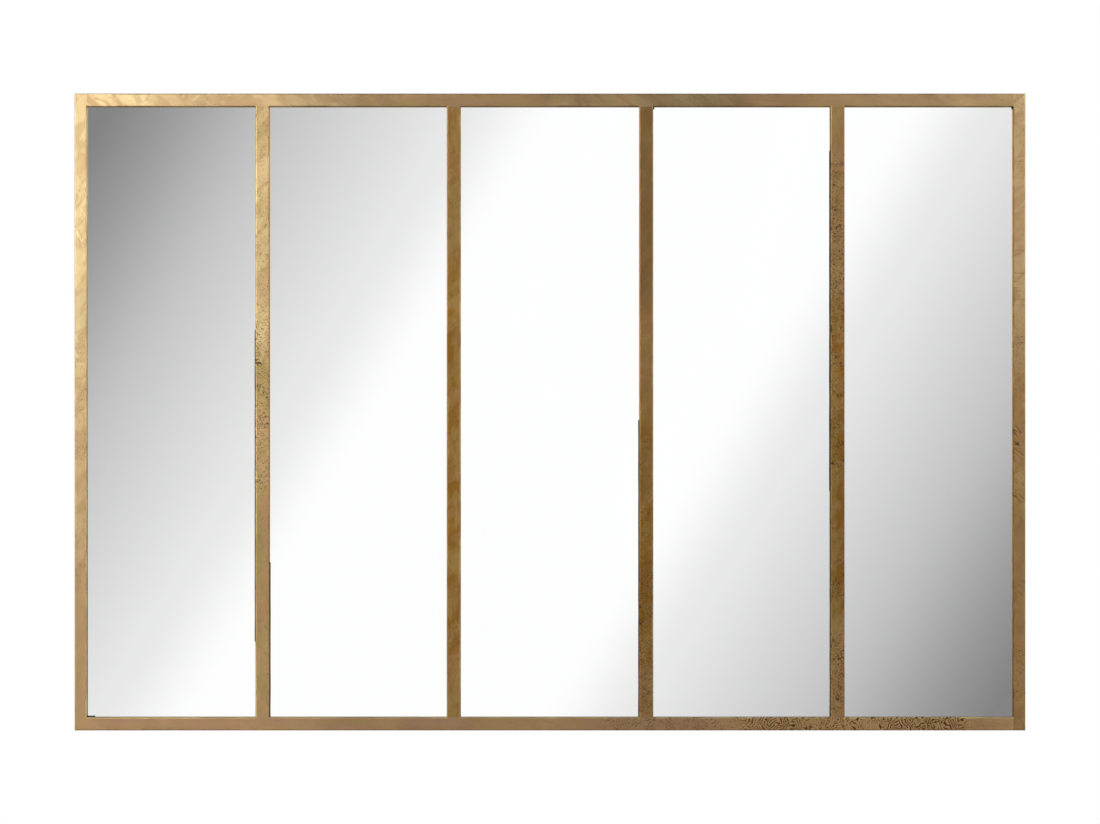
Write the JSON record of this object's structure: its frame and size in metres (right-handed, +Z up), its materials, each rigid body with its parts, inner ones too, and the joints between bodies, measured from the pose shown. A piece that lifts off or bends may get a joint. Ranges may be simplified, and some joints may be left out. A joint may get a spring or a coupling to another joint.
{
  "type": "window mirror",
  "caption": "Wide wall mirror of upright panes behind a gilded flat-bar window grille, with a tube frame, a backing board held by turn buttons, and ring hangers.",
  "frame": {"origin": "in the plane of the wall, behind the middle of the mirror", "axes": "+X to the right seen from the front, +Y back into the wall, +Z up as it hangs"},
  "size_m": [1.2, 0.025, 0.804],
  "materials": {
    "gilded_steel": "satin",
    "gilded_tube": "satin",
    "black_steel": "matte",
    "mirror_glass": "polished",
    "black_tape": "matte",
    "packing_card": "matte",
    "backing_board": "matte",
    "zinc_steel": "satin",
    "bumper_rubber": "matte"
  },
  "bodies": {
    "frame": {"top_rail": "gilded_steel", "bottom_rail": "gilded_steel", "left_stile": "gilded_steel", "right_stile": "gilded_steel", "mullion_1": "gilded_steel", "mullion_2": "gilded_steel", "mullion_3": "gilded_steel", "mullion_4": "gilded_steel", "top_tube": "gilded_tube", "bottom_tube": "gilded_tube", "left_tube": "gilded_tube", "right_tube": "gilded_tube", "web_1": "black_steel", "web_2": "black_steel", "web_3": "black_steel", "web_4": "black_steel", "mirror_pane_1": "mirror_glass", "glazing_tape_1": "black_tape", "packing_card_1": "packing_card", "mirror_pane_2": "mirror_glass", "glazing_tape_2": "black_tape", "packing_card_2": "packing_card", "mirror_pane_3": "mirror_glass", "glazing_tape_3": "black_tape", "packing_card_3": "packing_card", "mirror_pane_4": "mirror_glass", "glazing_tape_4": "black_tape", "packing_card_4": "packing_card", "mirror_pane_5": "mirror_glass", "glazing_tape_5": "black_tape", "packing_card_5": "packing_card", "backing_board": "backing_board", "turn_button_washers": "zinc_steel", "turn_button_screws": "zinc_steel", "hanger_screws": "zinc_steel", "left_hanger_strap": "zinc_steel", "right_hanger_strap": "zinc_steel", "bumper_top_left": "bumper_rubber", "bumper_top_right": "bumper_rubber", "bumper_bottom_left": "bumper_rubber", "bumper_bottom_right": "bumper_rubber"},
    "turn_button_top_left": {"turn_button_top_left": "zinc_steel"},
    "turn_button_top_middle": {"turn_button_top_middle": "zinc_steel"},
    "turn_button_top_right": {"turn_button_top_right": "zinc_steel"},
    "turn_button_bottom_left": {"turn_button_bottom_left": "zinc_steel"},
    "turn_button_bottom_middle": {"turn_button_bottom_middle": "zinc_steel"},
    "turn_button_bottom_right": {"turn_button_bottom_right": "zinc_steel"},
    "turn_button_left": {"turn_button_left": "zinc_steel"},
    "turn_button_right": {"turn_button_right": "zinc_steel"},
    "left_hanger_ring": {"left_hanger_ring": "zinc_steel"},
    "right_hanger_ring": {"right_hanger_ring": "zinc_steel"}
  },
  "joints": [
    {"name": "top_left_button_turn", "type": "hinge", "parent": "frame", "child": "turn_button_top_left", "pos_m": [-0.4, -0.0055, 0.397], "axis": [0, 1, 0], "continuous": true},
    {"name": "top_middle_button_turn", "type": "hinge", "parent": "frame", "child": "turn_button_top_middle", "pos_m": [0, -0.0055, 0.397], "axis": [0, 1, 0], "continuous": true},
    {"name": "top_right_button_turn", "type": "hinge", "parent": "frame", "child": "turn_button_top_right", "pos_m": [0.4, -0.0055, 0.397], "axis": [0, 1, 0], "continuous": true},
    {"name": "bottom_left_button_turn", "type": "hinge", "parent": "frame", "child": "turn_button_bottom_left", "pos_m": [-0.4, -0.0055, -0.397], "axis": [0, 1, 0], "continuous": true},
    {"name": "bottom_middle_button_turn", "type": "hinge", "parent": "frame", "child": "turn_button_bottom_middle", "pos_m": [0, -0.0055, -0.397], "axis": [0, 1, 0], "continuous": true},
    {"name": "bottom_right_button_turn", "type": "hinge", "parent": "frame", "child": "turn_button_bottom_right", "pos_m": [0.4, -0.0055, -0.397], "axis": [0, 1, 0], "continuous": true},
    {"name": "left_button_turn", "type": "hinge", "parent": "frame", "child": "turn_button_left", "pos_m": [-0.595, -0.0055, 0], "axis": [0, 1, 0], "continuous": true},
    {"name": "right_button_turn", "type": "hinge", "parent": "frame", "child": "turn_button_right", "pos_m": [0.595, -0.0055, 0], "axis": [0, 1, 0], "continuous": true},
    {"name": "left_ring_swing", "type": "hinge", "parent": "frame", "child": "left_hanger_ring", "pos_m": [-0.595, -0.00375, 0.29], "axis": [1, 0, 0], "range_deg": [0, 180]},
    {"name": "right_ring_swing", "type": "hinge", "parent": "frame", "child": "right_hanger_ring", "pos_m": [0.595, -0.00375, 0.29], "axis": [1, 0, 0], "range_deg": [0, 180]}
  ]
}
